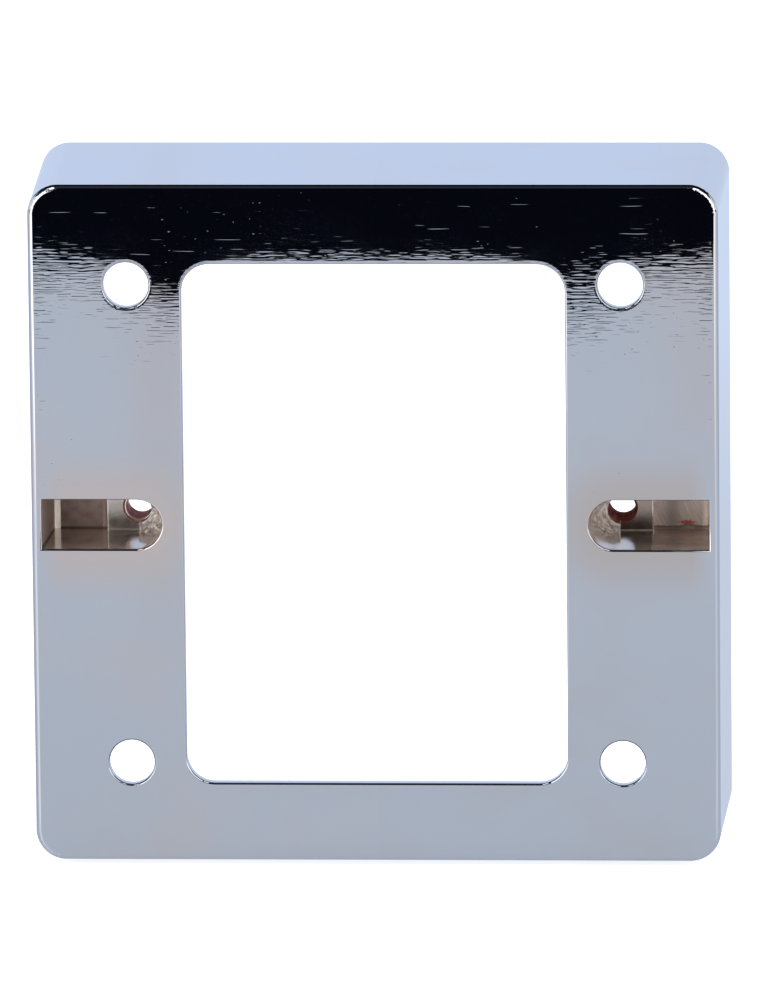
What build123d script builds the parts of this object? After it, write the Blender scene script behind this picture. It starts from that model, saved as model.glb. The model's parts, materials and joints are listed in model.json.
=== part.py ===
"""Surface-mounted back box for a square pushbutton plate: one drafted die-casting.

X runs across the box, Z up, and Y from the wall towards the room. The origin is the centre of
the wall face, the plate with the window. The open rim that takes the button plate is at +Y.
"""

import os
from math import radians, tan

from build123d import *

# Shell
rim_side = 86.0             # square outline at the open rim
box_depth = 28.0            # wall face to rim
shell_draft = 1.15          # side walls lean in towards the wall face, degrees
corner_radius = 3.75        # upright outer corners
side_wall = 1.5
plate = 1.5                 # closes the wall side
wall_face_edge = 0.7        # rounding round the wall face
rim_edge = 0.3              # chamfer on the inner edge of the rim
inside_radius = 0.6         # where walls, plate and lugs meet inside

# Openings in the wall face
window_width = 47.2
window_height = 65.2
window_corner_radius = 3.5
wall_hole_diameter = 5.6
wall_hole_pitch_x = 60.8
wall_hole_pitch_z = 60.0
mouth_edge = 0.25           # eased edges of the window, holes and pockets

# Lugs for the button plate's screws
screw_pitch = 60.0
thread_minor_diameter = 3.4
thread_entry_diameter = 4.0
thread_entry_angle = 90.0
lug_thickness = 5.8         # pocket's floor to the face that the screw enters
lug_wall = 1.5              # metal round the pocket
lug_draft = 1.0
lug_face_edge = 0.3         # chamfer

# Pockets that core the lugs out from the wall face
pocket_height = 6.2
pocket_reach = 3.65         # screw axis to the pocket's round end
pocket_skin = 1.26          # metal left between the pocket's square end and the outside
pocket_draft = 1.0
pocket_end_draft = 3.0      # of the square end
pocket_depth = 11.25        # wall face to the floor round the screw hole
relief_step = 0.9           # the floor beside the side wall lies this much deeper
relief_start = 3.95         # screw axis to that step
relief_bevel = 0.7          # slope at both ends of the deeper floor, along it
relief_bevel_rise = 0.3     # and out of it
land_rise = 1.75            # rough land at the pocket's round end
land_start = 0.1            # screw axis to the land's straight edge
land_bite = 0.4             # how far the land runs into the pocket's walls

# The wall face seen from the wall, looking into the box, and seen from inside, looking out
out_of_box = Plane.XZ
into_box = Plane(origin=(0, 0, 0), x_dir=(1, 0, 0), z_dir=(0, 1, 0))
rim_plane = out_of_box.offset(-box_depth)

# Places worked out from the sizes
wall_face_half = rim_side / 2 - box_depth * tan(radians(shell_draft))
screw_x = screw_pitch / 2
pocket_half = pocket_height / 2
pocket_end_x = wall_face_half - pocket_skin
pocket_round_x = screw_x - pocket_reach + pocket_half
lug_half = pocket_half + lug_wall
lug_face_y = pocket_depth + lug_thickness
lug_end_x = wall_face_half - side_wall / 2


def round_ended(round_x, end_x, half):
    """Outline of a lug or pocket: round towards the middle of the box, square at the side wall."""
    with Locations((round_x, 0)):
        Circle(half)
    with Locations(((round_x + end_x) / 2, 0)):
        Rectangle(end_x - round_x, 2 * half)


# Core of the shell: narrows from the rim to the plate
with BuildPart() as cavity_core:
    with BuildSketch(rim_plane):
        Rectangle(rim_side - 2 * side_wall, rim_side - 2 * side_wall)
    extrude(amount=box_depth - plate)
    draft(cavity_core.faces().filter_by(Axis.Y, reverse=True), rim_plane, shell_draft)
    fillet(cavity_core.edges().filter_by(Axis.Y, tolerance=2 * shell_draft), corner_radius - side_wall)

# Right lug, from the plate up to the face that the button plate's screw enters; its square end is
# buried in the side wall
with BuildPart() as lug:
    with BuildSketch(into_box.offset(plate / 2)):
        round_ended(pocket_round_x, lug_end_x, lug_half)
    extrude(amount=lug_face_y - plate / 2)
    lug_sides = lug.faces().filter_by(Axis.Y, reverse=True).sort_by(Axis.X)[:-1]
    draft(lug_sides, into_box.offset(plate), lug_draft)
    chamfer(lug.faces().sort_by(Axis.Y)[-1].edges().sort_by(Axis.X)[:-1], lug_face_edge)

# Core of the right pocket: the drafted outline, cut to the stepped floor seen from above
with BuildPart() as pocket_core:
    with BuildSketch(into_box):
        round_ended(pocket_round_x, pocket_end_x, pocket_half)
    extrude(amount=pocket_depth + relief_step)
    pocket_sides = pocket_core.faces().filter_by(Axis.Y, reverse=True).sort_by(Axis.X)[:-1]
    draft(pocket_sides, into_box, pocket_draft)
    draft(pocket_core.faces().sort_by(Axis.X)[-1], into_box, pocket_end_draft)
    with BuildSketch(Plane.XY):
        with Locations((0, pocket_depth)):
            Rectangle(screw_x + relief_start, relief_step, align=(Align.MIN, Align.MIN))
    extrude(amount=pocket_height, both=True, mode=Mode.SUBTRACT)
    relief_floor = pocket_core.faces().sort_by(Axis.Y)[-1]
    relief_ends = relief_floor.edges().filter_by(Axis.Z)
    chamfer(relief_ends, relief_bevel, relief_bevel_rise, reference=relief_floor)

# Land at the round end of the right pocket
with BuildPart() as pocket_land:
    with BuildSketch(into_box.offset(pocket_depth - land_rise)):
        with Locations((pocket_round_x, 0)):
            Circle(pocket_half + land_bite)
        with Locations((screw_x - land_start, 0)):
            Rectangle(rim_side, rim_side, align=(Align.MIN, Align.CENTER), mode=Mode.SUBTRACT)
    extrude(amount=land_rise + land_bite)

with BuildPart() as back_box:
    # Shell
    with BuildSketch(rim_plane):
        Rectangle(rim_side, rim_side)
    extrude(amount=box_depth)
    draft(back_box.faces().filter_by(Axis.Y, reverse=True), rim_plane, shell_draft)
    fillet(back_box.edges().filter_by(Axis.Y, tolerance=2 * shell_draft), corner_radius)
    fillet(back_box.faces().sort_by(Axis.Y)[0].edges(), wall_face_edge)
    add(cavity_core.part, mode=Mode.SUBTRACT)
    chamfer(back_box.faces().sort_by(Axis.Y)[-1].inner_wires()[0].edges(), rim_edge)

    # Lugs
    add(lug.part)
    add(mirror(lug.part, about=Plane.YZ, mode=Mode.PRIVATE))
    cavity_floor = back_box.faces().filter_by(Axis.Y).sort_by(Axis.Y)[1]
    fillet(cavity_floor.edges(), inside_radius)

    # Pockets, screw holes and lands
    add(pocket_core.part, mode=Mode.SUBTRACT)
    add(mirror(pocket_core.part, about=Plane.YZ, mode=Mode.PRIVATE), mode=Mode.SUBTRACT)
    for screw_entry in (out_of_box.offset(-pocket_depth), into_box.offset(lug_face_y)):
        with Locations(screw_entry):
            with GridLocations(screw_pitch, 0, 2, 1):
                CounterSinkHole(
                    thread_minor_diameter / 2,
                    thread_entry_diameter / 2,
                    depth=lug_thickness,
                    counter_sink_angle=thread_entry_angle,
                )
    add(pocket_land.part)
    add(mirror(pocket_land.part, about=Plane.YZ, mode=Mode.PRIVATE))
    with Locations(out_of_box):
        with GridLocations(screw_pitch, 0, 2, 1):
            Hole(thread_minor_diameter / 2)

    # Window and wall-screw holes
    with BuildSketch(into_box):
        RectangleRounded(window_width, window_height, window_corner_radius)
    extrude(amount=plate, mode=Mode.SUBTRACT)
    wall_face = back_box.faces().sort_by(Axis.Y)[0]
    fillet(wall_face.edges() - wall_face.outer_wire().edges(), mouth_edge)
    with BuildSketch(into_box):
        with GridLocations(wall_hole_pitch_x, wall_hole_pitch_z, 2, 2):
            Circle(wall_hole_diameter / 2)
    extrude(amount=plate, mode=Mode.SUBTRACT)
    chamfer(back_box.edges(Select.LAST).filter_by(GeomType.CIRCLE).group_by(Axis.Y)[0], mouth_edge)

back_box.part.label = "back_box"
os.makedirs("parts", exist_ok=True)
export_step(back_box.part, "parts/back_box.step")
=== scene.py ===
"""Studio scene of a chrome-plated, die-cast surface back box for a square pushbutton plate.

Everything is in metres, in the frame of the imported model: X across the box, Z up, and Y from the
wall towards the room, so the camera looks at the wall face with its window, holes and pockets.
"""

import json
import math

import bmesh
import bpy
from mathutils import Matrix, Vector, noise
from mathutils.kdtree import KDTree


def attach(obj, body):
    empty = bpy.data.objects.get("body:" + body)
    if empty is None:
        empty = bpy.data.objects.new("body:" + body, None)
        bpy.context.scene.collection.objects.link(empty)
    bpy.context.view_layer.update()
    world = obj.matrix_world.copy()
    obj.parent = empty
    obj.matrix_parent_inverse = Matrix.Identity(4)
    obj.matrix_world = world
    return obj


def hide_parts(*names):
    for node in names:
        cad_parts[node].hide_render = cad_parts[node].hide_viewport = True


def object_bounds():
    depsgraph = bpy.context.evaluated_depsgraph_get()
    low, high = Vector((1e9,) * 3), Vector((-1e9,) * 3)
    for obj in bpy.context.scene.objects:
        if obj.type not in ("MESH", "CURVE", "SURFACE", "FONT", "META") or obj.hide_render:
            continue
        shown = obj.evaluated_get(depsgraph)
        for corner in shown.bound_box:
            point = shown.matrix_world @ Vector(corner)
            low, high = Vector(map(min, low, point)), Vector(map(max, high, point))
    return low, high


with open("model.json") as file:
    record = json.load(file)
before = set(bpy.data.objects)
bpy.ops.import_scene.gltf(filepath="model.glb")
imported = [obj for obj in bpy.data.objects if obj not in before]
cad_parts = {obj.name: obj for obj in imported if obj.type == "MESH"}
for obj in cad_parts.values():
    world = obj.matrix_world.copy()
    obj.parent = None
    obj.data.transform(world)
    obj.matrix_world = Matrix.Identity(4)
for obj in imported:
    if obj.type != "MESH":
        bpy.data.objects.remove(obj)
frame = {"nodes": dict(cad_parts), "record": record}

MM = 0.001
MICRON = 1e-6
cad_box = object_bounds()
box_low, box_high = cad_box
mounts = {mount["name"]: mount for mount in frame["record"]["mounts"]}

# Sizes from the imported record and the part's own drawing
hole_mount = mounts["wall_holes"]
hole_x = hole_mount["dims"]["spacing_x_mm"] * MM / 2
hole_z = hole_mount["dims"]["spacing_y_mm"] * MM / 2
hole_radius = hole_mount["dims"]["hole_r_mm"] * MM
screw_mount = mounts["plate_screws"]
screw_x = screw_mount["dims"]["spacing_x_mm"] * MM / 2
screw_radius = screw_mount["dims"]["hole_r_mm"] * MM
lug_face_y = screw_mount["pos_m"][1]
plate = 1.5 * MM
side_wall = 1.5 * MM
corner_radius = 3.75 * MM           # upright outer corners
wall_face_half = 42.44 * MM
window_half_x = 23.6 * MM
window_half_z = 32.6 * MM
window_corner = 3.5 * MM
mouth_edge = 0.25 * MM              # eased edges of the window, holes and pockets
pocket_half = 3.1 * MM
pocket_reach = 3.65 * MM            # screw axis to the pocket's round end
pocket_draft = math.radians(1.0)
pocket_depth = 11.25 * MM           # wall face to the floor round the screw hole
relief_depth = 12.15 * MM           # wall face to the deeper floor beside the side wall
relief_start = 3.95 * MM            # screw axis to that floor
land_y = 9.5 * MM                   # rough land beside the screw hole
land_start = 0.1 * MM               # screw axis to the land's straight edge
thread_entry = 0.3 * MM             # depth of the countersinks
thread_pitch = 0.7 * MM
thread_depth = 0.38 * MM
thread_start = pocket_depth + thread_entry
thread_end = lug_face_y - thread_entry
off_skin = 0.01 * MM                # lifts a small piece off the casting that it lies on
weld_reach = 1 * MICRON             # points nearer than this are one
crease = math.radians(40)           # faces that meet at more than this shade apart


def add_node(tree, kind, inputs=None, **settings):
    """Adds a shader node. Inputs are values, or sockets to link, by socket name or index."""
    node = tree.nodes.new(kind)
    for name, value in settings.items():
        setattr(node, name, value)
    for name, value in (inputs or {}).items():
        if isinstance(value, bpy.types.NodeSocket):
            tree.links.new(value, node.inputs[name])
        else:
            node.inputs[name].default_value = value
    return node


def new_tree(name):
    """A material with an empty node tree, and that tree."""
    material = bpy.data.materials.new(name)
    material.use_nodes = True
    material.node_tree.nodes.clear()
    return material, material.node_tree


def output(tree, shader):
    """Links a shader to the tree's surface."""
    add_node(tree, "ShaderNodeOutputMaterial", {"Surface": shader.outputs[0]})


def grain(tree, size, detail=2.0, rough=0.5, turn=(0.0, 0.0, 0.0), spot=None):
    """Noise from 0 to 1 over the object, whose features measure size = (x, y, z) metres.

    It is read at the object's own point, or at another spot where one is given.
    """
    spot = spot or add_node(tree, "ShaderNodeTexCoord").outputs["Object"]
    scaled = add_node(
        tree,
        "ShaderNodeMapping",
        {"Vector": spot, "Rotation": turn, "Scale": size},
        vector_type="TEXTURE",
    )
    pattern = add_node(
        tree,
        "ShaderNodeTexNoise",
        {"Vector": scaled.outputs["Vector"], "Scale": 1.0, "Detail": detail, "Roughness": rough},
    )
    return pattern.outputs["Fac"]


def axes_of(tree):
    """The object's own X, Y and Z, as sockets by name."""
    place = add_node(tree, "ShaderNodeTexCoord")
    return add_node(tree, "ShaderNodeSeparateXYZ", {"Vector": place.outputs["Object"]}).outputs


def spread(tree, value, from_low, from_high, to_low=0.0, to_high=1.0, smooth=False):
    """Maps a value from one range to another, clamped."""
    mapped = add_node(
        tree,
        "ShaderNodeMapRange",
        {"Value": value, "From Min": from_low, "From Max": from_high, "To Min": to_low, "To Max": to_high},
        interpolation_type="SMOOTHSTEP" if smooth else "LINEAR",
    )
    return mapped.outputs["Result"]


def calculate(tree, operation, first, second=0.0):
    """One math node's result."""
    return add_node(tree, "ShaderNodeMath", {0: first, 1: second}, operation=operation).outputs[0]


def on_right(tree):
    """1 on the right of the box's middle, and 0 on the left."""
    return calculate(tree, "GREATER_THAN", axes_of(tree)["X"], 0.0)


def squared(tree, value):
    """A socket's square."""
    return calculate(tree, "MULTIPLY", value, value)


def length(tree, first, second):
    """How long a step with two legs is."""
    return calculate(tree, "SQRT", calculate(tree, "ADD", squared(tree, first), squared(tree, second)))


def bell(tree, value, centre, half_width):
    """1 where a value meets the centre, falling to 0 in a bell shape."""
    off = calculate(tree, "DIVIDE", calculate(tree, "SUBTRACT", value, centre), half_width)
    return calculate(tree, "EXPONENT", calculate(tree, "MULTIPLY", squared(tree, off), -1.0))


def blend_colour(tree, factor, first, second):
    """Two colours, or colour sockets, mixed by a factor socket."""
    mixed = add_node(tree, "ShaderNodeMix", {0: factor, 6: first, 7: second}, data_type="RGBA")
    return mixed.outputs[2]


def bumps(tree, layers):
    """A chain of bumps: each layer is a height socket and the height in metres that 1 stands for."""
    normal = None
    for height, distance in layers:
        inputs = {"Height": height, "Distance": distance, "Strength": 1.0}
        if normal is not None:
            inputs["Normal"] = normal
        normal = add_node(tree, "ShaderNodeBump", inputs).outputs["Normal"]
    return normal


def metal(tree, colour, roughness, normal, bare=1.0):
    """Metal with its colour, roughness and normal from nodes, dulled by dirt as bare falls below 1."""
    return add_node(
        tree,
        "ShaderNodeBsdfPrincipled",
        {"Base Color": colour, "Metallic": bare, "Roughness": roughness, "Normal": normal},
    )


def pocket_nearness(tree):
    """1 at a pocket's mouth, falling to 0 some way off it over the wall face."""
    halo_reach = 11 * MM
    edge_start = 39 * MM
    edge_end = 41.5 * MM
    axes = axes_of(tree)
    across = calculate(tree, "ABSOLUTE", axes["X"])
    beside = calculate(tree, "MAXIMUM", calculate(tree, "SUBTRACT", screw_x, across), 0.0)
    apart = length(tree, beside, axes["Z"])
    near = spread(tree, apart, pocket_half, halo_reach, 1.0, 0.0, smooth=True)
    off_edge = spread(tree, across, edge_start, edge_end, 1.0, 0.0)
    return calculate(tree, "MULTIPLY", near, off_edge)


def polishing_dish(tree):
    """Where the polishing wheel dipped at the window's upright edges: the upper face leans back there.

    The height falls as much as Z rises, so that its distance is the slope.
    """
    dish_low = 14 * MM
    dish_high = 38 * MM
    dish_x = 25 * MM
    dish_width = 6 * MM
    axes = axes_of(tree)
    across = calculate(tree, "ABSOLUTE", axes["X"])
    lean = spread(tree, axes["Z"], dish_low, dish_high, dish_high - dish_low, 0.0)
    return calculate(tree, "MULTIPLY", lean, bell(tree, across, dish_x, dish_width))


def past_outline(tree, across, upwards, half_x, half_z, corner):
    """How far a point lies past a round-cornered outline: below 0 inside it."""
    legs = [
        calculate(tree, "MAXIMUM", calculate(tree, "SUBTRACT", value, half - corner), 0.0)
        for value, half in ((across, half_x), (upwards, half_z))
    ]
    return calculate(tree, "SUBTRACT", length(tree, *legs), corner)


def polished_flat(tree, margin):
    """1 over the wall face, falling to 0 at a margin inside its outline."""
    fall = 0.35 * MM
    axes = axes_of(tree)
    across, upwards = (calculate(tree, "ABSOLUTE", axes[name]) for name in "XZ")
    past = past_outline(tree, across, upwards, wall_face_half, wall_face_half, corner_radius)
    return spread(tree, past, -margin - fall, -margin, 1.0, 0.0)


def rolled_edges(tree):
    """A height that falls from 1 to 0 where polishing rolled the edges of the holes and the window."""
    roll = 0.12 * MM
    axes = axes_of(tree)
    across, upwards = (calculate(tree, "ABSOLUTE", axes[name]) for name in "XZ")
    from_x = calculate(tree, "SUBTRACT", across, hole_x)
    from_z = calculate(tree, "SUBTRACT", upwards, hole_z)
    off_hole = calculate(tree, "SUBTRACT", length(tree, from_x, from_z), hole_radius + mouth_edge)
    past_window = past_outline(tree, across, upwards, window_half_x, window_half_z, window_corner)
    off_window = calculate(tree, "SUBTRACT", past_window, mouth_edge)
    off_edge = calculate(tree, "MAXIMUM", calculate(tree, "MINIMUM", off_hole, off_window), 0.0)
    return calculate(tree, "SUBTRACT", 1.0, bell(tree, off_edge, 0.0, roll))


def rosy_cast(tree):
    """1 where the plating has a faint rosy cast: left of the window, and up the right side."""
    left_x = -26.5 * MM
    left_width = 4 * MM
    left_rise = (-20 * MM, -8 * MM)
    right_x = 40 * MM
    right_width = 5 * MM
    right_rise = (6 * MM, 14 * MM)
    axes = axes_of(tree)
    left = bell(tree, axes["X"], left_x, left_width)
    right = bell(tree, axes["X"], right_x, right_width)
    up_left = calculate(tree, "MULTIPLY", left, spread(tree, axes["Z"], *left_rise))
    up_right = calculate(tree, "MULTIPLY", right, spread(tree, axes["Z"], *right_rise))
    return calculate(tree, "MAXIMUM", up_left, up_right)


def leaning_waves(tree, size, lean):
    """Waves that are steeper on the side that leans back.

    They are noise that is read higher up where it is low, and lower down where it is high.
    """
    axes = axes_of(tree)
    shift = spread(tree, grain(tree, size, detail=1.0), 0.0, 1.0, lean / 2, -lean / 2)
    moved = {"X": axes["X"], "Y": axes["Y"], "Z": calculate(tree, "ADD", axes["Z"], shift)}
    return grain(tree, size, detail=1.0, spot=add_node(tree, "ShaderNodeCombineXYZ", moved).outputs[0])


def bright_plating(tree, layers):
    """Mirror chrome over layers of bumps, with fine pits and a warm cast round the pockets."""
    cool = (0.565, 0.6, 0.66, 1.0)
    rosy = (0.57, 0.573, 0.602, 1.0)
    warm_left = (0.645, 0.578, 0.55, 1.0)
    warm_right = (0.575, 0.525, 0.5, 1.0)
    pit_depth = 4 * MICRON
    clouds = grain(tree, (16 * MM, 16 * MM, 12 * MM), detail=3.0)
    haze = spread(tree, clouds, 0.45, 0.8, 0.0, 0.5)
    tarnish = calculate(tree, "MAXIMUM", pocket_nearness(tree), haze)
    plain = blend_colour(tree, rosy_cast(tree), cool, rosy)
    warm = blend_colour(tree, on_right(tree), warm_left, warm_right)
    colour = blend_colour(tree, tarnish, plain, warm)
    roughness = spread(tree, grain(tree, (9 * MM, 9 * MM, 5 * MM)), 0.3, 0.75, 0.01, 0.03)
    clusters = spread(tree, grain(tree, (14 * MM, 14 * MM, 9 * MM), detail=1.0), 0.5, 0.65)
    dots = spread(tree, grain(tree, (0.4 * MM, 0.4 * MM, 0.3 * MM), detail=0.0), 0.79, 0.9)
    pits = calculate(tree, "MULTIPLY", clusters, dots)
    output(tree, metal(tree, colour, roughness, bumps(tree, [*layers, (pits, pit_depth)])))


def deep_waves(tree):
    """1 where polishing left the deepest waves: high up right of the window, and by the upright outlines."""
    band_x = window_half_x + 2.5 * MM
    band_width = 3.2 * MM
    band_rise = (22 * MM, 27 * MM)
    outline_x = 41.5 * MM
    outline_width = 1.6 * MM
    axes = axes_of(tree)
    beside_window = bell(tree, axes["X"], band_x, band_width)
    high_up = spread(tree, axes["Z"], *band_rise)
    by_outline = bell(tree, calculate(tree, "ABSOLUTE", axes["X"]), outline_x, outline_width)
    return calculate(tree, "MAXIMUM", calculate(tree, "MULTIPLY", beside_window, high_up), by_outline)


def face_plating():
    """Plating of the wall face, with the polishing wheel's dish, rolled edges, waves and scratches."""
    dish_slope = 0.0068
    roll_height = 2 * MICRON
    wave_height = 2.4 * MICRON
    wave_size = (2.8 * MM, 2.8 * MM, 0.27 * MM)
    wave_lean = 0.2 * MM
    wave_margin = 0.55 * MM
    deepest = 2.1
    calmest = 0.35
    calm_rise = (34.5 * MM, 37 * MM)
    scratch_height = 0.8 * MICRON
    scratch_size = (5 * MM, 5 * MM, 0.2 * MM)
    scratch_margin = 1.2 * MM
    material, tree = new_tree("face_plating")
    deeper = spread(tree, deep_waves(tree), 0.0, 1.0, 1.0, deepest)
    calmer = spread(tree, axes_of(tree)["Z"], *calm_rise, 1.0, calmest)
    inside = calculate(tree, "MULTIPLY", calmer, polished_flat(tree, wave_margin))
    strength = calculate(tree, "MULTIPLY", deeper, inside)
    waves = calculate(tree, "MULTIPLY", leaning_waves(tree, wave_size, wave_lean), strength)
    marks = spread(tree, grain(tree, scratch_size, detail=0.0), 0.75, 0.87)
    scratches = calculate(tree, "MULTIPLY", marks, polished_flat(tree, scratch_margin))
    layers = [
        (polishing_dish(tree), dish_slope),
        (rolled_edges(tree), roll_height),
        (waves, wave_height),
        (scratches, scratch_height),
    ]
    bright_plating(tree, layers)
    return material


def side_plating():
    """Plating of the side walls and the rim."""
    material, tree = new_tree("side_plating")
    bright_plating(tree, [])
    return material


def inner_plating():
    """Plating inside the box: a satin cast skin under thinner chrome."""
    material, tree = new_tree("inner_plating")
    clouds = grain(tree, (10 * MM, 10 * MM, 10 * MM), detail=4.0)
    colour = blend_colour(tree, clouds, (0.53, 0.54, 0.565, 1.0), (0.61, 0.605, 0.61, 1.0))
    roughness = spread(tree, clouds, 0.3, 0.7, 0.22, 0.28)
    skin = grain(tree, (0.7 * MM, 0.7 * MM, 0.7 * MM), detail=3.0)
    normal = bumps(tree, [(skin, 10 * MICRON)])
    output(tree, metal(tree, colour, roughness, normal))
    return material


def pocket_skin(tree):
    """Clouds, colour and normal of the thin, brownish plating in the pockets, with drag marks."""
    brown = (0.53, 0.455, 0.405, 1.0)
    pale = (0.76, 0.68, 0.615, 1.0)
    clouds = grain(tree, (2.2 * MM, 2.2 * MM, 1.6 * MM), detail=4.0, rough=0.6)
    colour = blend_colour(tree, spread(tree, clouds, 0.35, 0.7), brown, pale)
    skin = grain(tree, (0.8 * MM, 0.8 * MM, 0.8 * MM), detail=2.0)
    drag = grain(tree, (0.12 * MM, 3 * MM, 1.8 * MM), detail=2.0, turn=(0.0, math.radians(25), 0.0))
    return clouds, colour, bumps(tree, [(skin, 6 * MICRON), (drag, 2 * MICRON)])


def pocket_wall():
    """Thin plating of the pockets' walls, duller beside the right pocket's deeper end."""
    step_x = screw_x + relief_start
    half_fade = 0.1 * MM
    dullest = 0.35
    material, tree = new_tree("pocket_wall")
    clouds, colour, normal = pocket_skin(tree)
    dull = spread(tree, axes_of(tree)["X"], step_x - half_fade, step_x + half_fade, 0.0, dullest)
    roughness = calculate(tree, "MAXIMUM", spread(tree, clouds, 0.3, 0.7, 0.1, 0.2), dull)
    output(tree, metal(tree, colour, roughness, normal, bare=0.78))
    return material


def pocket_floor():
    """Duller plating of the floors round the screw holes, browner on the right, pale at the lower edge."""
    brown = (0.36, 0.24, 0.19, 1.0)
    pale = (0.95, 0.92, 0.88, 1.0)
    browner = 0.6
    lower_edge = pocket_depth * math.tan(pocket_draft) - pocket_half
    rub_start = lower_edge + 0.08 * MM
    rub_end = lower_edge + 0.17 * MM
    material, tree = new_tree("pocket_floor")
    clouds, skin_colour, normal = pocket_skin(tree)
    browned = blend_colour(tree, calculate(tree, "MULTIPLY", on_right(tree), browner), skin_colour, brown)
    rubbed = spread(tree, axes_of(tree)["Z"], rub_start, rub_end, 1.0, 0.0)
    colour = blend_colour(tree, rubbed, browned, pale)
    bare = spread(tree, rubbed, 0.0, 1.0, 0.85, 0.3)
    roughness = spread(tree, clouds, 0.3, 0.7, 0.16, 0.26)
    output(tree, metal(tree, colour, roughness, normal, bare))
    return material


def relief_brown(tree, clouds, patch):
    """Colour of the pockets' deeper ends, paler at the end walls and on the right, with a dark patch."""
    end_x = 40.5 * MM
    end_fade = 0.1 * MM
    dark = (0.32, 0.235, 0.205, 1.0)
    brown = (0.5, 0.38, 0.34, 1.0)
    end_brown = (0.6, 0.48, 0.43, 1.0)
    right_brown = (0.84, 0.7, 0.62, 1.0)
    patch_brown = (0.36, 0.29, 0.26, 1.0)
    paler = 0.68
    darker = 0.7
    across = calculate(tree, "ABSOLUTE", axes_of(tree)["X"])
    end_wall = spread(tree, across, end_x, end_x + end_fade)
    floor = blend_colour(tree, spread(tree, clouds, 0.35, 0.7), dark, brown)
    both = blend_colour(tree, end_wall, floor, end_brown)
    pale = blend_colour(tree, calculate(tree, "MULTIPLY", on_right(tree), paler), both, right_brown)
    return blend_colour(tree, calculate(tree, "MULTIPLY", patch, darker), pale, patch_brown)


def over_ridge(tree, clouds, lower_edge):
    """How far a point lies above the wandering ridge over the right pocket's lower corner."""
    swell_x = 38.3 * MM
    swell_width = 0.9 * MM
    swell_height = 0.35 * MM
    lowest = 0.3 * MM
    highest = 0.5 * MM
    axes = axes_of(tree)
    swell = calculate(tree, "MULTIPLY", bell(tree, axes["X"], swell_x, swell_width), swell_height)
    wander = spread(tree, clouds, 0.3, 0.7, lowest, highest)
    ridge = calculate(tree, "ADD", calculate(tree, "ADD", swell, wander), lower_edge)
    return calculate(tree, "SUBTRACT", axes["Z"], ridge)


def copper_spot(tree, skin):
    """1 on the ragged copper spot that sits on that ridge, and 0 round it."""
    spot_x = 38.1 * MM
    spot_z = -2.02 * MM
    spot_width = 1.3 * MM
    spot_height = 0.32 * MM
    axes = axes_of(tree)
    along = bell(tree, axes["X"], spot_x, spot_width)
    upwards = bell(tree, axes["Z"], spot_z, spot_height)
    spot = calculate(tree, "MULTIPLY", along, upwards)
    ragged = calculate(tree, "ADD", spot, spread(tree, skin, 0.3, 0.7, -0.4, 0.4))
    return spread(tree, ragged, 0.45, 0.75)


def relief_casting():
    """Dull brown skin of the pockets' deeper ends, with painted shade darkening the corner under them.

    The right one is paler and scratched, its painted shade lies under a ridge, and a copper spot sits on
    that.
    """
    patch_x = 36.3 * MM
    patch_width = 1.1 * MM
    lower_edge = relief_depth * math.tan(pocket_draft) - pocket_half
    corner_shade_start = lower_edge + 0.12 * MM
    corner_shade_end = lower_edge + 0.26 * MM
    ridge_shade_depth = 0.5 * MM
    ridge_edge = (-0.02 * MM, 0.06 * MM)
    scratch_pale = (0.95, 0.87, 0.81, 1.0)
    # The dark brown below is painted shade, not a colour of the casting
    painted_shade_colour = (0.16, 0.11, 0.085, 1.0)
    copper = (0.6, 0.16, 0.11, 1.0)
    material, tree = new_tree("relief_casting")
    axes = axes_of(tree)
    right = on_right(tree)
    clouds = grain(tree, (1.4 * MM, 1.4 * MM, 1.1 * MM), detail=4.0, rough=0.6)
    drag = grain(tree, (0.09 * MM, 3 * MM, 2.4 * MM), detail=2.0, turn=(0.0, math.radians(-28), 0.0))
    skin = grain(tree, (0.3 * MM, 0.3 * MM, 0.3 * MM), detail=3.0)
    patch = bell(tree, axes["X"], patch_x, patch_width)
    rise = over_ridge(tree, clouds, lower_edge)
    under = calculate(tree, "MULTIPLY", spread(tree, rise, *ridge_edge, 1.0, 0.0), right)
    over = calculate(tree, "SUBTRACT", right, under)
    open_skin = calculate(tree, "MAXIMUM", calculate(tree, "SUBTRACT", over, patch), 0.0)
    scratches = calculate(tree, "MULTIPLY", spread(tree, drag, 0.5, 0.7), open_skin)
    scratched = blend_colour(tree, scratches, relief_brown(tree, clouds, patch), scratch_pale)
    # Painted shade: the left pocket's lower corner and the skin under the right pocket's ridge are painted
    # dark brown where shade falls
    in_corner = spread(tree, axes["Z"], corner_shade_start, corner_shade_end, 1.0, 0.0)
    left_corner = calculate(tree, "MULTIPLY", in_corner, calculate(tree, "SUBTRACT", 1.0, right))
    under_ridge = calculate(tree, "MULTIPLY", spread(tree, rise, -ridge_shade_depth, 0.0, 0.45, 0.85), under)
    painted_shade = calculate(tree, "MAXIMUM", under_ridge, left_corner)
    skin_with_shade = blend_colour(tree, painted_shade, scratched, painted_shade_colour)
    colour = blend_colour(tree, copper_spot(tree, skin), skin_with_shade, copper)
    roughness = spread(tree, clouds, 0.3, 0.7, 0.38, 0.55)
    normal = bumps(tree, [(skin, 12 * MICRON), (drag, 6 * MICRON)])
    output(tree, metal(tree, colour, roughness, normal, bare=0.7))
    return material


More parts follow.
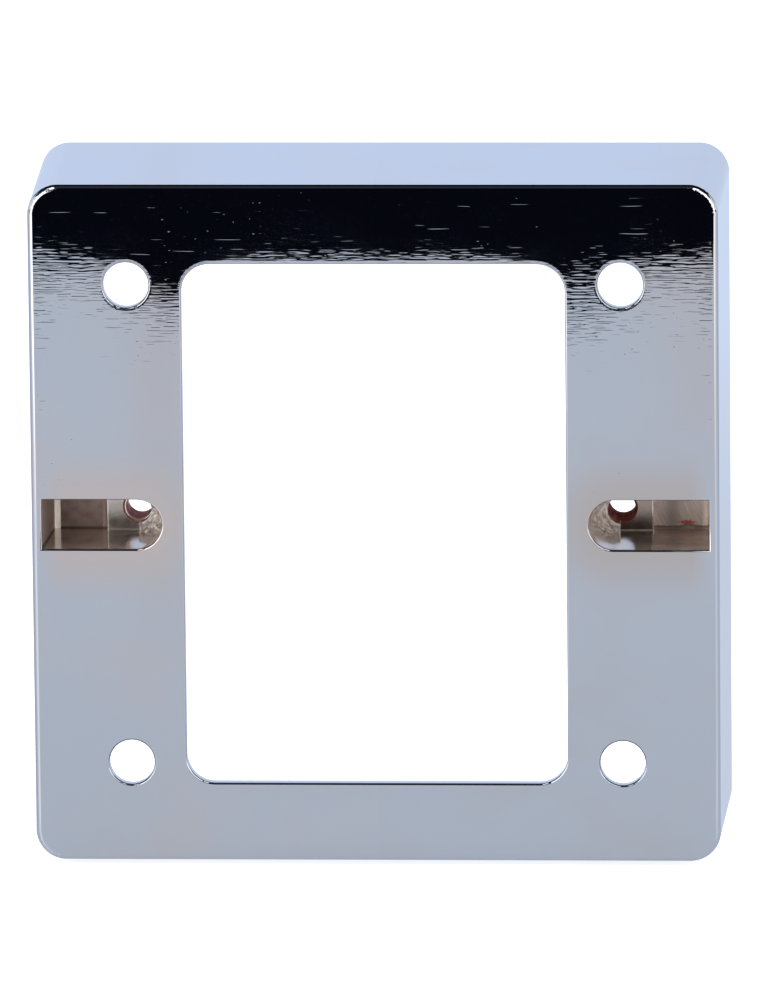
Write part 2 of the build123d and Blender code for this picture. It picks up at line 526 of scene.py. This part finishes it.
def slope_casting():
    """Pale, matte skin of the slope at the far end of the left pocket."""
    shaded = (0.95, 0.86, 0.79, 1.0)
    pale = (1.0, 0.95, 0.9, 1.0)
    material, tree = new_tree("slope_casting")
    clouds = grain(tree, (0.6 * MM, 0.6 * MM, 0.9 * MM), detail=3.0)
    colour = blend_colour(tree, spread(tree, clouds, 0.35, 0.65), shaded, pale)
    roughness = spread(tree, clouds, 0.3, 0.7, 0.45, 0.55)
    normal = bumps(tree, [(grain(tree, (0.25 * MM, 0.25 * MM, 0.25 * MM)), 8 * MICRON)])
    output(tree, metal(tree, colour, roughness, normal, bare=0.9))
    return material


def worn_casting():
    """Pale, rubbed metal of the edges in the pockets."""
    material, tree = new_tree("worn_casting")
    clouds = grain(tree, (0.6 * MM, 0.6 * MM, 0.6 * MM), detail=3.0)
    colour = blend_colour(tree, clouds, (0.78, 0.7, 0.64, 1.0), (0.92, 0.86, 0.81, 1.0))
    roughness = spread(tree, clouds, 0.3, 0.7, 0.1, 0.2)
    normal = bumps(tree, [(grain(tree, (0.25 * MM, 0.25 * MM, 0.25 * MM)), 2 * MICRON)])
    output(tree, metal(tree, colour, roughness, normal))
    return material


def land_casting():
    """Rough, pale cast skin of the lands."""
    shaded = (0.7, 0.6, 0.55, 1.0)
    pale = (1.0, 0.95, 0.91, 1.0)
    material, tree = new_tree("land_casting")
    clouds = grain(tree, (0.7 * MM, 0.7 * MM, 0.7 * MM), detail=4.0, rough=0.6)
    colour = blend_colour(tree, spread(tree, clouds, 0.35, 0.65), shaded, pale)
    roughness = spread(tree, clouds, 0.3, 0.7, 0.6, 0.4)
    normal = bumps(tree, [(grain(tree, (0.2 * MM, 0.2 * MM, 0.2 * MM), detail=2.0), 12 * MICRON)])
    output(tree, metal(tree, colour, roughness, normal, bare=0.55))
    return material


def thread_metal():
    """Bare, copper-stained metal of the tapped holes, redder on the right."""
    material, tree = new_tree("thread_metal")
    stain = grain(tree, (0.9 * MM, 0.5 * MM, 0.9 * MM), detail=3.0)
    patches = spread(tree, stain, 0.35, 0.65)
    pink = blend_colour(tree, patches, (0.72, 0.44, 0.42, 1.0), (1.0, 0.78, 0.76, 1.0))
    red = blend_colour(tree, patches, (0.48, 0.19, 0.15, 1.0), (0.72, 0.42, 0.38, 1.0))
    colour = blend_colour(tree, on_right(tree), pink, red)
    roughness = spread(tree, stain, 0.3, 0.7, 0.28, 0.45)
    normal = bumps(tree, [(grain(tree, (0.15 * MM, 0.1 * MM, 0.15 * MM)), 5 * MICRON)])
    output(tree, metal(tree, colour, roughness, normal))
    return material


FACE, SIDE, INNER, POCKET, FLOOR, RELIEF, SLOPE, WORN, LAND, THREAD = range(10)
materials = (
    face_plating(),
    side_plating(),
    inner_plating(),
    pocket_wall(),
    pocket_floor(),
    relief_casting(),
    slope_casting(),
    worn_casting(),
    land_casting(),
    thread_metal(),
)


def from_screw_axis(point):
    """How far a point lies from the nearer screw hole's axis."""
    return math.hypot(abs(point.x) - screw_x, point.z)


def finish_of(face):
    """Which material a face of the casting has."""
    bore_slack = 0.05 * MM
    wall_slack = 0.4 * MM
    end_slack = 0.5 * MM
    side_slack = 0.2 * MM
    depth_slack = 0.3 * MM
    floor_slack = 0.1 * MM
    least_away = 1 * MM
    least_facing = 0.3
    squarely = 0.5
    centre = face.calc_center_median()
    across, depth, height = abs(centre.x), centre.y, abs(centre.z)
    bore_reach = screw_radius + thread_entry + bore_slack
    inner_reach = box_high.x - side_wall + wall_slack
    if depth > pocket_depth and all(from_screw_axis(corner.co) < bore_reach for corner in face.verts):
        return THREAD
    along_pocket = screw_x - pocket_reach - end_slack < across < inner_reach
    in_pocket = along_pocket and height < pocket_half + side_slack
    faces_out = -face.normal.y > squarely
    faces_in = abs(face.normal.x) > least_facing and across > screw_x + 2 * relief_start
    if in_pocket and mouth_edge < depth < relief_depth + depth_slack:
        if faces_out and faces_in:
            return SLOPE if centre.x < 0.0 else RELIEF
        if faces_in and centre.x > 0.0:
            return WORN
        if faces_in or faces_out and depth > pocket_depth + floor_slack:
            return RELIEF
        return FLOOR if faces_out else POCKET
    if in_pocket and faces_in and depth < mouth_edge:
        return WORN
    at_corner = min(across, height) > wall_face_half - corner_radius
    outer_corner = at_corner and face.normal.x * centre.x > least_away
    inside = plate - floor_slack < depth < box_high.y - floor_slack and max(across, height) < inner_reach
    if inside and not outer_corner:
        return INNER
    return FACE if depth < plate and -face.normal.y > least_facing else SIDE


def bore_faces(mesh):
    """The faces of the plain bores that the threads take the place of."""
    bore_slack = 0.02 * MM
    most_lean = 0.5
    return [
        face
        for face in mesh.faces
        if abs(face.normal.y) < most_lean
        and all(abs(from_screw_axis(corner.co) - screw_radius) < bore_slack for corner in face.verts)
    ]


def on_hole_edge(face):
    """Whether a face belongs to the eased edge of a wall hole."""
    centre = face.calc_center_median()
    apart = math.hypot(abs(centre.x) - hole_x, abs(centre.z) - hole_z)
    return 0.0 < centre.y < mouth_edge and apart < hole_radius + mouth_edge


def same_skin(face, other):
    """Whether two touching faces may shade as one: the deeper floors of the pockets stay apart."""
    apart = (RELIEF, SLOPE)
    return face.material_index == other.material_index or not (
        face.material_index in apart or other.material_index in apart
    )


def corner_normals(mesh):
    """A normal for each face corner: flats stay flat up to their edges, and curves run smoothly.

    The eased edges of the wall holes shade as if they were rounded.
    """
    rounded = math.radians(50)
    eased = {face for face in mesh.faces if on_hole_edge(face)}
    weights = {face: face.calc_area() ** 2 for face in mesh.faces}
    normals = {}
    for face in mesh.faces:
        for corner in face.loops:
            together = Vector()
            for other in corner.vert.link_faces:
                limit = rounded if face in eased or other in eased else crease
                if other.normal.angle(face.normal, 0.0) < limit and same_skin(face, other):
                    together += other.normal * weights[other]
            normals[corner] = together.normalized()
    return normals


def on_shell(face):
    """Whether a face belongs to the outside of the shell, up to the rounding of the wall face."""
    edge_reach = box_high.x - 1.4 * MM
    corner_reach = box_high.x - 4.4 * MM
    centre = face.calc_center_median()
    far, near = max(abs(centre.x), abs(centre.z)), min(abs(centre.x), abs(centre.z))
    return face.material_index in (FACE, SIDE) and (far > edge_reach or near > corner_reach)


def round_out(mesh):
    """Halves the edges across the shell's coarse curves, and lifts their middles on to the curve."""
    least_bend = math.radians(2.5)
    longest = 2 * MM
    normals = corner_normals(mesh)
    lifted = {}
    for edge in mesh.edges:
        for side in edge.link_loops:
            along, back = normals[side], normals[side.link_loop_next]
            span = side.link_loop_next.vert.co - side.vert.co
            if on_shell(side.face) and span.length < longest and along.angle(back) > least_bend:
                # The middle of a cubic that leaves both ends square to their normals
                lift = (back * span.dot(back) - along * span.dot(along)) / 8.0
                for other in edge.link_faces:
                    if other.normal.angle(side.face.normal) > crease:
                        lift -= other.normal * lift.dot(other.normal)
                lifted[edge] = (edge.verts[0].co + edge.verts[1].co) / 2.0 + lift
    places = KDTree(2 * len(lifted))
    targets = []
    for edge, target in lifted.items():
        places.insert((edge.verts[0].co + edge.verts[1].co) / 2.0, len(targets))
        targets.append(target)
    for face in {face for edge in lifted for face in edge.link_faces}:
        if len(face.edges) == 4 and all(edge in lifted for edge in face.edges):
            middle = face.calc_center_median()
            places.insert(middle, len(targets))
            targets.append(sum((lifted[edge] for edge in face.edges), Vector()) / 2.0 - middle)
    places.balance()
    result = bmesh.ops.subdivide_edges(mesh, edges=list(lifted), cuts=1, use_grid_fill=True)
    for element in result["geom_inner"]:
        if isinstance(element, bmesh.types.BMVert):
            _, index, distance = places.find(element.co)
            if distance < weld_reach:
                element.co = targets[index]
    mesh.normal_update()


def casting():
    """The solid as one welded skin, with the bores left open."""
    flat_angle = math.radians(0.05)
    rounds = 2
    cad = frame["nodes"]["back_box"]
    mesh = bmesh.new()
    mesh.from_mesh(cad.data)
    bmesh.ops.remove_doubles(mesh, verts=mesh.verts, dist=weld_reach)
    bmesh.ops.delete(mesh, geom=bore_faces(mesh), context="FACES")
    bmesh.ops.dissolve_limit(mesh, angle_limit=flat_angle, verts=mesh.verts, edges=mesh.edges)
    for face in mesh.faces:
        face.smooth = True
        face.material_index = finish_of(face)
    for _ in range(rounds):
        round_out(mesh)
    normals = [list(normal) for normal in corner_normals(mesh).values()]
    data = bpy.data.meshes.new("casting")
    mesh.to_mesh(data)
    mesh.free()
    data.normals_split_custom_set(normals)
    return data


def place(name, data):
    """Puts a mesh in the scene as a piece of the box."""
    piece = bpy.data.objects.new(name, data)
    bpy.context.scene.collection.objects.link(piece)
    for material in materials:
        data.materials.append(material)
    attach(piece, "root")
    return piece


def grid_mesh(name, rows, finish):
    """A smooth surface over rows of points."""
    width = len(rows[0])
    faces = []
    for row in range(len(rows) - 1):
        for column in range(width - 1):
            corner = row * width + column
            faces.append((corner, corner + 1, corner + width + 1, corner + width))
    data = bpy.data.meshes.new(name)
    data.from_pydata([point for row in rows for point in row], [], faces)
    data.shade_smooth()
    for face in data.polygons:
        face.material_index = finish
    return data


def fade(value, reach):
    """0 at 0, rising smoothly to 1 at reach."""
    part = min(max(value / reach, 0.0), 1.0)
    return part * part * (3.0 - 2.0 * part)


def thread_point(side, depth, angle):
    """A point of a tapped thread: a helical groove cut outwards from the bore, running out at its ends."""
    run_out = 0.35 * MM
    land_run_out = 0.4 * MM
    steepness = 1.2                 # over 1, so that the groove has a flat bottom
    inwards = -side * screw_radius * math.cos(angle)
    in_land = fade(inwards - land_start, land_run_out) * fade(depth - land_y, run_out)
    ends = max(fade(depth - thread_start, run_out), in_land) * fade(thread_end - depth, run_out)
    phase = (depth / thread_pitch + angle / (2.0 * math.pi)) % 1.0
    groove = min(1.0, steepness * (1.0 - abs(2.0 * phase - 1.0)))
    radius = screw_radius + thread_depth * groove * ends
    return side * screw_x + radius * math.cos(angle), depth, radius * math.sin(angle)


def thread(name, side, first, last, half_sweep):
    """A tapped thread between two depths, as far round on both sides of the box's middle as half_sweep."""
    steps_per_pitch = 14
    degrees_per_step = 5
    half_steps = round(math.degrees(half_sweep) / degrees_per_step)
    middle = math.pi if side > 0 else 0.0
    angles = [middle + half_sweep * step / half_steps for step in range(-half_steps, half_steps + 1)]
    count = round((last - first) / thread_pitch * steps_per_pitch)
    depths = [first + (last - first) * step / count for step in range(count + 1)]
    rows = [[thread_point(side, depth, angle) for angle in angles] for depth in depths]
    place(name, grid_mesh(name, rows, THREAD))


def rough_land(name, side):
    """The lumpy cast surface of a land, from the screw hole out to the pocket's round wall."""
    spokes = 90
    rings = 28
    wall_bite = 0.12 * MM
    lump = 0.42 * MM
    rise = 0.18 * MM
    hole_fade = 0.25 * MM
    edge_fade = 0.2 * MM
    roughness, spacing, octaves = 0.7, 2.0, 3
    seed = Vector((0.0, 7.3 * side, 0.0))
    round_radius = pocket_half - land_y * math.tan(pocket_draft)
    round_offset = pocket_reach - pocket_half
    rows = []
    for spoke in range(spokes + 1):
        angle = math.pi * (spoke / spokes - 0.5)
        reach = round_offset * math.cos(angle)
        reach += math.sqrt(round_radius ** 2 - (round_offset * math.sin(angle)) ** 2) + wall_bite
        row = []
        for ring in range(rings + 1):
            radius = screw_radius + (reach - screw_radius) * ring / rings
            inwards = max(radius * math.cos(angle), land_start)
            height = radius * math.sin(angle)
            spot = Vector((inwards, 0.0, height)) / lump
            lumps = 0.5 + 0.5 * noise.fractal(spot + seed, roughness, spacing, octaves)
            edges = fade(radius - screw_radius, hole_fade) * fade(inwards - land_start, edge_fade)
            lift = rise * max(lumps, 0.0) * edges + off_skin
            row.append((side * (screw_x - inwards), land_y - lift, height))
        rows.append(row)
    place(name, grid_mesh(name, rows, LAND))


def step_nose(name, side):
    """The rubbed, rounded edge where the pocket's floor steps down to its deeper end."""
    nose = 0.18 * MM
    overhang = 0.06 * MM
    steps = 12
    sweep = math.radians(110)
    lead = math.radians(10)
    edge = screw_x + relief_start + overhang - nose
    half_height = pocket_half - pocket_depth * math.tan(pocket_draft)
    rows = []
    for height in (half_height, -half_height):
        row = []
        for step in range(steps + 1):
            angle = sweep * step / steps - lead
            row.append((
                side * (edge + nose * math.sin(angle)),
                pocket_depth - off_skin + nose * (1.0 - math.cos(angle)),
                height,
            ))
        rows.append(row)
    place(name, grid_mesh(name, rows, WORN))


def hole_rim(name, side, depth, first, last):
    """A worn edge round a screw hole, between two angles from straight below, away from the box's middle."""
    wire = 0.1 * MM
    steps = 48
    around = 10
    rows = []
    for step in range(steps + 1):
        angle = first + (last - first) * step / steps
        row = []
        for turn in range(around + 1):
            bead = 2.0 * math.pi * turn / around
            radius = screw_radius + wire * math.cos(bead)
            row.append((
                side * (screw_x + radius * math.sin(angle)),
                depth + wire * math.sin(bead),
                -radius * math.cos(angle),
            ))
        rows.append(row)
    place(name, grid_mesh(name, rows, WORN))


box_skin = place("back_box_casting", casting())
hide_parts("back_box")
for side_name, side in (("left", -1), ("right", 1)):
    thread(f"screw_thread_{side_name}", side, thread_start, thread_end, math.pi)
    thread(f"land_thread_{side_name}", side, land_y, thread_start, math.acos(land_start / screw_radius))
    rough_land(f"pocket_land_{side_name}", side)
    step_nose(f"step_nose_{side_name}", side)
hole_rim("hole_rim_left", -1, thread_start, first=math.radians(-65), last=math.pi)


def glow(name, colour):
    """A plain emitting material for cards."""
    material, tree = new_tree(name)
    output(tree, add_node(tree, "ShaderNodeEmission", {"Color": (*colour, 1.0), "Strength": 1.0}))
    return material


def graded_glow(name, near, far, start, end, axis="Y"):
    """An emitting material whose colour changes along an axis, from near at start to far at end."""
    material, tree = new_tree(name)
    share = spread(tree, axes_of(tree)[axis], start, end)
    colour = blend_colour(tree, share, (*near, 1.0), (*far, 1.0))
    output(tree, add_node(tree, "ShaderNodeEmission", {"Color": colour, "Strength": 1.0}))
    return material


def floor_material():
    """Pale paper under the lamps, brought up to white for the camera and evened out in the mirror faces."""
    near_y = -0.08
    far_y = -0.28
    evened = 0.7
    material, tree = new_tree("pale_floor")
    paper = add_node(tree, "ShaderNodeBsdfDiffuse", {"Color": (0.775, 0.8, 0.857, 1.0)})
    lift = add_node(tree, "ShaderNodeEmission", {"Color": (1.0, 1.0, 1.0, 1.0), "Strength": 0.72})
    seen = add_node(tree, "ShaderNodeAddShader", {0: paper.outputs[0], 1: lift.outputs[0]})
    # Painted shadow: in the mirror faces the evened floor glows darker near the box, as if the box's shadow
    # fell there
    far = spread(tree, axes_of(tree)["Y"], near_y, far_y)
    grey = blend_colour(tree, far, (0.67, 0.7, 0.755, 1.0), (0.73, 0.76, 0.82, 1.0))
    even = add_node(tree, "ShaderNodeEmission", {"Color": grey, "Strength": 1.0})
    mirrored = add_node(tree, "ShaderNodeMixShader", {0: evened, 1: paper.outputs[0], 2: even.outputs[0]})
    path = add_node(tree, "ShaderNodeLightPath")
    in_mirror = {0: path.outputs["Is Glossy Ray"], 1: paper.outputs[0], 2: mirrored.outputs[0]}
    unseen = add_node(tree, "ShaderNodeMixShader", in_mirror)
    choice = {0: path.outputs["Is Camera Ray"], 1: unseen.outputs[0], 2: seen.outputs[0]}
    output(tree, add_node(tree, "ShaderNodeMixShader", choice))
    return material


def sheet(name, corners, material):
    """A flat stage card through four corners."""
    data = bpy.data.meshes.new(name)
    data.from_pydata(corners, [], [(0, 1, 2, 3)])
    data.materials.append(material)
    card = bpy.data.objects.new(name, data)
    bpy.context.scene.collection.objects.link(card)
    return card


def mirror_card(name, corners, material):
    """A card that shows in the plating and lights or shades nothing."""
    card = sheet(name, corners, material)
    card.visible_camera = False
    card.visible_diffuse = False
    card.visible_transmission = False
    card.visible_volume_scatter = False
    card.visible_shadow = False


def strip_corners(low_x, high_x, start, end):
    """Corners of a card from low_x to high_x, between two edges that are given by their Y and Z."""
    return [(low_x, *start), (high_x, *start), (high_x, *end), (low_x, *end)]


def lamp(name, place_at, aim, size, power, colour):
    """A soft rectangular lamp that points at a spot and doesn't show in the plating."""
    light = bpy.data.lights.new(name, "AREA")
    light.shape = "RECTANGLE"
    light.size, light.size_y = size
    light.energy = power
    light.color = colour
    holder = bpy.data.objects.new(name, light)
    bpy.context.scene.collection.objects.link(holder)
    holder.location = place_at
    holder.rotation_euler = (Vector(aim) - Vector(place_at)).to_track_quat("-Z", "Y").to_euler()
    holder.visible_glossy = False


# The photograph's place: far off, above and a little to the right of the wall face
camera_distance = 1.5572
camera_azimuth = math.radians(3.4115)
camera_elevation = math.radians(11.4710)
camera_yaw = math.radians(3.3611)
camera_pitch = math.radians(-11.3581)
camera_roll = math.radians(-0.5663)

# Stage: a floor that the box stands on, and what its mirror faces see round the camera
floor_z = box_low.z
floor_half = 6.0
floor_front = -0.407                # in the mirror, the pale floor ends here
over_floor = floor_z + 1 * MM       # cards that cover the floor
over_cards = floor_z + 2 * MM       # a card that covers those
room_half = 3.0
front_half = 1.0
front_y = -2.0
front_top = 1.6
rear_y = 1.4
rear_top = 2.4
backdrop_top = 0.65
dim_front = (-1.3, 1.5)             # Y and Z of the dim ceiling's edges
dim_rear = (-0.1, 1.6)
blue_left = -0.6
blue_right = 0.8
grey_left = -0.5
grey_rear = 0.3
sheet(
    "floor",
    strip_corners(-floor_half, floor_half, (-floor_half, floor_z), (floor_half, floor_z)),
    floor_material(),
)
dark = glow("dark_room", (0.0027, 0.0034, 0.0072))
mirror_card(
    "dark_foreground",
    strip_corners(-room_half, room_half, (-room_half, over_floor), (floor_front, over_floor)),
    dark,
)
mirror_card(
    "dark_front",
    strip_corners(-front_half, front_half, (front_y, floor_z), (front_y, front_top)),
    dark,
)
mirror_card(
    "black_ceiling",
    strip_corners(-room_half, room_half, (front_y, front_top), (rear_y, rear_top)),
    dark,
)
mirror_card(
    "dim_ceiling",
    strip_corners(-room_half, room_half, dim_front, dim_rear),
    glow("dim_ceiling", (0.04, 0.046, 0.058)),
)
mirror_card(
    "dark_rear",
    strip_corners(-room_half, room_half, (rear_y, rear_top), (rear_y, backdrop_top)),
    glow("dark_rear", (0.012, 0.014, 0.024)),
)
mirror_card(
    "blue_backdrop",
    strip_corners(-room_half, room_half, (rear_y, floor_z), (rear_y, backdrop_top)),
    graded_glow("blue_backdrop", (0.66, 0.765, 0.97), (0.72, 0.83, 1.06), start=floor_z, end=0.25, axis="Z"),
)
mirror_card(
    "blue_floor",
    strip_corners(blue_left, blue_right, (0.0, over_floor), (rear_y, over_floor)),
    graded_glow("blue_floor", (0.605, 0.675, 0.81), (0.66, 0.765, 0.97), start=0.2, end=0.36),
)
mirror_card(
    "grey_floor",
    strip_corners(grey_left, box_low.x, (0.0, over_cards), (grey_rear, over_cards)),
    graded_glow("grey_floor", (0.6, 0.6, 0.72), (0.45, 0.47, 0.54), start=0.2, end=grey_rear),
)

# What the rounding of the wall face mirrors as white lines: a glowing wedge on the floor to either side,
# panels that carry it on round the upper corners, strips overhead, and small patches for the lower corners
white = glow("white_card", (2.2, 2.2, 2.2))
panel_range = 0.9
panel_turns = range(2, 63, 10)                         # degrees up from the side
strip_low, strip_high = math.radians(63), math.radians(76)
strip_z = 1.15
strip_front = -1.5
strip_rear = -0.45
wedge_level = 0.12                                     # the wedges end as if the box were this high
wedge_rise = 4 * MM                                    # their far ends lie this much above the floor
near_rise = 0.2 * MM
glow_near_y = -0.18
glow_far_y = -0.3
corner_centre = wall_face_half - corner_radius
straight_ahead = Vector((-math.sin(camera_azimuth), -math.cos(camera_azimuth), -math.tan(camera_elevation)))
straight_ahead.normalize()


def aside(side, turn):
    """The way out from a side of the box, turned up from level by some degrees."""
    return Vector((side * math.cos(math.radians(turn)), 0.0, math.sin(math.radians(turn))))


def mirrored_ways(side, turn, angles):
    """The ways in which the wall face's rounding mirrors the view, by degrees off straight ahead."""
    return [
        straight_ahead * math.cos(math.radians(angle)) + aside(side, turn) * math.sin(math.radians(angle))
        for angle in angles
    ]


def floor_spots(side, level, turn, angles, rise):
    """Where those ways from a level of the rounding meet the stage, a little above the floor."""
    start = Vector((side * corner_centre, 0.0, level)) + aside(side, turn) * corner_radius
    return [start + way * ((floor_z + rise - start.z) / way.z) for way in mirrored_ways(side, turn, angles)]


def bluish(brightness):
    """A grey of some brightness with a little blue in it."""
    return brightness, brightness, brightness * 1.05


for side, low_angles, high_angles, panel_angles, low_glow, high_glow, corner_glows in (
    (-1, (9, 53), (12, 56), (12, 56), 1.13, 2.2, ((25, 1.02), (45, 0.93), (60, 0.87), (75, 0.8))),
    (1, (18, 57), (28, 64), (34, 62), 0.9, 1.5, ((20, 0.84),)),
):
    near = floor_spots(side, -corner_centre, 0, low_angles, near_rise)
    far = floor_spots(side, wedge_level, 0, high_angles, wedge_rise)
    name = f"side_glow_{side}"
    side_glow = graded_glow(name, bluish(low_glow), (high_glow,) * 3, glow_near_y, glow_far_y)
    mirror_card(name, [near[0], far[0], far[1], near[1]], side_glow)
    for turn, brightness in corner_glows:
        nearer = floor_spots(side, -corner_centre, -turn, low_angles, near_rise)
        name = f"corner_glow_{side}_{turn}"
        mirror_card(name, [near[0], nearer[0], nearer[1], near[1]], glow(name, bluish(brightness)))
        near = nearer
    for turn, next_turn in zip(panel_turns, panel_turns[1:]):
        ways = mirrored_ways(side, turn, panel_angles) + mirrored_ways(side, next_turn, panel_angles[::-1])
        corners = [way * panel_range for way in ways]
        mirror_card(f"side_panel_{side}_{turn}", corners, white)
    low_x, high_x = (side * strip_z / math.tan(angle) for angle in (strip_low, strip_high))
    mirror_card(
        f"overhead_strip_{side}",
        strip_corners(low_x, high_x, (strip_front, strip_z), (strip_rear, strip_z)),
        white,
    )
    lamp(
        f"side_lamp_{side}",
        place_at=(side * 0.75, -0.1, 0.35),
        aim=(0.0, -0.05, -0.02),
        size=(0.6, 0.7),
        power=3.4,
        colour=(1.0, 1.0, 1.0),
    )
lamp(
    "top_lamp",
    place_at=(0.0, -0.2, 1.3),
    aim=(0.0, 0.0, 0.0),
    size=(1.4, 1.4),
    power=5.6,
    colour=(0.96, 0.98, 1.0),
)
lamp(
    "back_lamp",
    place_at=(0.0, 0.9, 0.9),
    aim=(0.0, 0.35, floor_z),
    size=(0.8, 0.8),
    power=3.0,
    colour=(0.55, 0.7, 1.0),
)

# Room light, which the camera and the mirror faces see as white
world = bpy.data.worlds.new("studio")
bpy.context.scene.world = world
world.use_nodes = True
sky = world.node_tree
sky.nodes.clear()
rays = add_node(sky, "ShaderNodeLightPath")
mirrored = calculate(sky, "MAXIMUM", rays.outputs["Is Glossy Ray"], rays.outputs["Is Transmission Ray"])
shown = calculate(sky, "MAXIMUM", rays.outputs["Is Camera Ray"], mirrored)
ambient = add_node(sky, "ShaderNodeBackground", {"Color": (0.95, 0.97, 1.0, 1.0), "Strength": 0.34})
backdrop = add_node(sky, "ShaderNodeBackground", {"Color": (1.0, 1.0, 1.0, 1.0), "Strength": 1.0})
room = add_node(sky, "ShaderNodeMixShader", {0: shown, 1: ambient.outputs[0], 2: backdrop.outputs[0]})
add_node(sky, "ShaderNodeOutputWorld", {"Surface": room.outputs[0]})

# Camera
camera_data = bpy.data.cameras.new("camera")
camera_data.sensor_width = 36.0
camera_data.lens = 455.12
camera_data.clip_start = 0.05
camera_data.clip_end = 50.0
camera = bpy.data.objects.new("camera", camera_data)
bpy.context.scene.collection.objects.link(camera)
spot = Vector((
    math.sin(camera_azimuth) * math.cos(camera_elevation),
    -math.cos(camera_azimuth) * math.cos(camera_elevation),
    math.sin(camera_elevation),
)) * camera_distance
turn = (
    Matrix.Rotation(camera_yaw, 4, "Z")
    @ Matrix.Rotation(math.pi / 2 + camera_pitch, 4, "X")
    @ Matrix.Rotation(camera_roll, 4, "Z")
)
camera.matrix_world = Matrix.Translation(spot) @ turn
bpy.context.scene.camera = camera
bpy.context.scene.view_settings.view_transform = "Standard"

bpy.context.view_layer.update()
